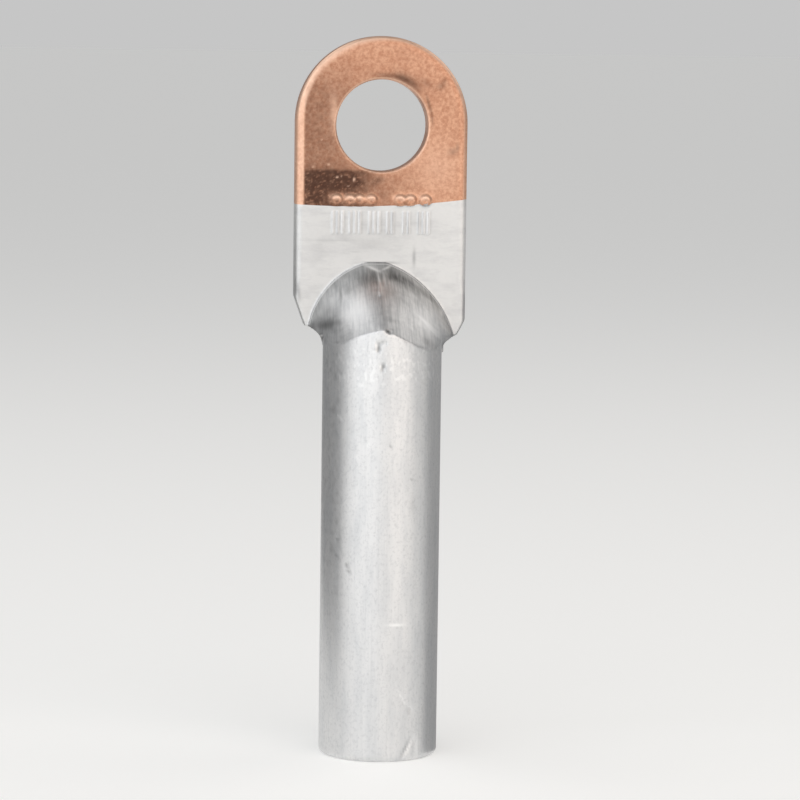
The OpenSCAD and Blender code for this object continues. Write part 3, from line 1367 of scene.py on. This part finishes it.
@dataclass(frozen=True)
class Softbox:
    """One large soft light that faces the lug: azimuth 0 is in front of it, and 90 on its right."""

    name: str
    azimuth: float
    distance: float
    middle: float
    size: Point
    glow: float
    colour: str

    def build(self) -> None:
        """Adds the light, with the power that gives its face the wanted glow."""
        lamp = bpy.data.lights.new(self.name, "AREA")
        lamp.shape = "RECTANGLE"
        lamp.size, lamp.size_y = self.size[0] * MM, self.size[1] * MM
        lamp.energy = self.glow * math.pi * lamp.size * lamp.size_y
        lamp.color = linear(self.colour)[:3]
        light = bpy.data.objects.new(self.name, lamp)
        angle = math.radians(self.azimuth)
        place = (math.sin(angle) * self.distance, -math.cos(angle) * self.distance, self.middle)
        light.location = Vector(place) * MM
        aim = LIGHT_AIM - light.location
        light.rotation_euler = aim.to_track_quat("-Z", "Y").to_euler()
        light.visible_camera = False
        bpy.context.scene.collection.objects.link(light)


@dataclass(frozen=True)
class Flag:
    """A grey card beside the lug that only gloss sees, with its foot folded in over the floor where asked.

    It keeps the pale floor out of the barrel's edges, and casts no shadow.
    """

    name: str
    across: float
    depths: Point
    heights: Point
    glow: float
    fold: float = 0.0

    def build(self) -> None:
        """Adds the card, upright and along Y."""
        (near, far), (foot, top) = self.depths, self.heights
        profile = [(self.across, top), (self.across, foot)]
        if self.fold:
            profile.append((self.across - math.copysign(self.fold, self.across), foot))
        bm = bmesh.new()
        verts = [bm.verts.new((x, near, z)) for x, z in profile]
        edges = [bm.edges.new(pair) for pair in zip(verts, verts[1:])]
        strip = bmesh.ops.extrude_edge_only(bm, edges=edges)["geom"]
        back = [v for v in strip if isinstance(v, bmesh.types.BMVert)]
        bmesh.ops.translate(bm, vec=(0, far - near, 0), verts=back)
        bmesh.ops.scale(bm, vec=(MM,) * 3, verts=bm.verts[:])
        mesh = bpy.data.meshes.new(self.name)
        bm.to_mesh(mesh)
        bm.free()
        mesh.materials.append(glowing_board(self.name, "#000000", 1.0, self.glow))
        card = bpy.data.objects.new(self.name, mesh)
        card.visible_camera = card.visible_diffuse = card.visible_shadow = False
        bpy.context.scene.collection.objects.link(card)


@dataclass
class Studio:
    """Pale floor, soft lights and the camera. The clip range and the floor are in metres."""

    camera_azimuth: float = 5.0
    camera_distance: float = 320.0
    camera_height: float = 66.13
    focal_pixels: float = 3475.9
    frame_pixels: float = 800.0
    roll: float = 0.76
    aim: Point = (0.2273, -5.9124)
    sensor: float = 36.0
    clip: Point = (0.01, 20.0)
    floor_half: float = 20.0
    floor_glow: float = 0.28
    air_glow: float = 0.33
    backdrop_glow: float = 0.565
    softboxes: Sequence[Softbox] = (
        Softbox("left_softbox", -36.0, 420.0, 190.0, (588.0, 420.0), 1.05, "#FCFDFF"),
        Softbox("right_softbox", 30.0, 420.0, 190.0, (420.0, 420.0), 1.07, "#FFF5ED"),
        Softbox("top_left_softbox", -108.0, 258.0, 403.0, (330.0, 300.0), 0.78, "#FFFFFF"),
        Softbox("top_right_softbox", 113.0, 334.0, 335.0, (330.0, 300.0), 0.66, "#FFFAF5"),
        Softbox("front_top_softbox", 0.0, 215.0, 400.0, (330.0, 110.0), 0.9, "#FFFFFF"),
    )
    flags: Sequence[Flag] = (
        Flag("left_grey_card", -46.0, (-8.0, 230.0), (2.5, 42.0), 0.26),
        Flag("right_grey_card", 13.0, (-3.5, 90.0), (0.05, 42.0), 0.34, 7.0),
    )

    def floor(self) -> None:
        """Lays the pale floor, a board lit a little from below."""
        bm = bmesh.new()
        bmesh.ops.create_grid(bm, x_segments=8, y_segments=8, size=self.floor_half)
        mesh = bpy.data.meshes.new("pale_floor")
        bm.to_mesh(mesh)
        bm.free()
        floor = bpy.data.objects.new("pale_floor", mesh)
        bpy.context.scene.collection.objects.link(floor)
        mesh.materials.append(glowing_board("matt_white_board", "#EFEFED", 0.9, self.floor_glow))

    def air(self) -> None:
        """Gives the studio its even grey air, with a paler backdrop that only the camera sees."""
        world = bpy.data.worlds.new("studio_air")
        world.use_nodes = True
        tree = world.node_tree
        seen = add_node(tree, "ShaderNodeLightPath").outputs["Is Camera Ray"]
        glow = add_node(
            tree,
            "ShaderNodeMapRange",
            {"To Min": self.air_glow, "To Max": self.backdrop_glow},
            {"Value": seen},
        )
        background = tree.nodes["Background"]
        background.inputs["Color"].default_value = linear("#FFFFFF")
        tree.links.new(glow.outputs["Result"], background.inputs["Strength"])
        bpy.context.scene.world = world

    def camera(self) -> None:
        """Places the camera where the picture was taken from."""
        data = bpy.data.cameras.new("studio_camera")
        data.sensor_width = self.sensor
        data.lens = self.focal_pixels / self.frame_pixels * self.sensor
        data.clip_start, data.clip_end = self.clip
        angle = math.radians(self.camera_azimuth)
        across, back = math.sin(angle) * self.camera_distance, math.cos(angle) * self.camera_distance
        place = Vector((-across, -back, self.camera_height))
        turn = (
            Matrix.Rotation(-angle, 4, "Z")
            @ Matrix.Rotation(math.pi / 2, 4, "X")
            @ Matrix.Rotation(math.radians(self.roll), 4, "Z")
            @ Matrix.Rotation(math.radians(-self.aim[0]), 4, "Y")
            @ Matrix.Rotation(math.radians(self.aim[1]), 4, "X")
        )
        camera = bpy.data.objects.new("studio_camera", data)
        camera.matrix_world = Matrix.Translation(place * MM) @ turn
        bpy.context.scene.collection.objects.link(camera)
        bpy.context.scene.camera = camera

    def build(self) -> None:
        """Sets up the whole studio."""
        self.floor()
        self.air()
        self.camera()
        for light in (*self.softboxes, *self.flags):
            light.build()
        bpy.context.scene.view_settings.view_transform = "Standard"


def main() -> None:
    """Builds the lug and its studio."""
    logging.basicConfig(level=logging.INFO, format="%(message)s")
    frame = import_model()
    nodes = frame["nodes"]
    blank = LugBlank()
    weld = WeldLine()
    skin = blank.build([nodes["aluminium_barrel"], nodes["copper_palm"]])
    LOG.info("lug blank: %d vertices", len(skin.vertices))
    for piece in (AluminiumBody().build(skin, blank.join, weld), CopperEnd().build(skin, weld)):
        LOG.info("%s: %d triangles", piece.name, sum(len(p.vertices) - 2 for p in piece.data.polygons))
    Studio().build()
    bpy.context.view_layer.update()


if __name__ == "__main__":
    main()
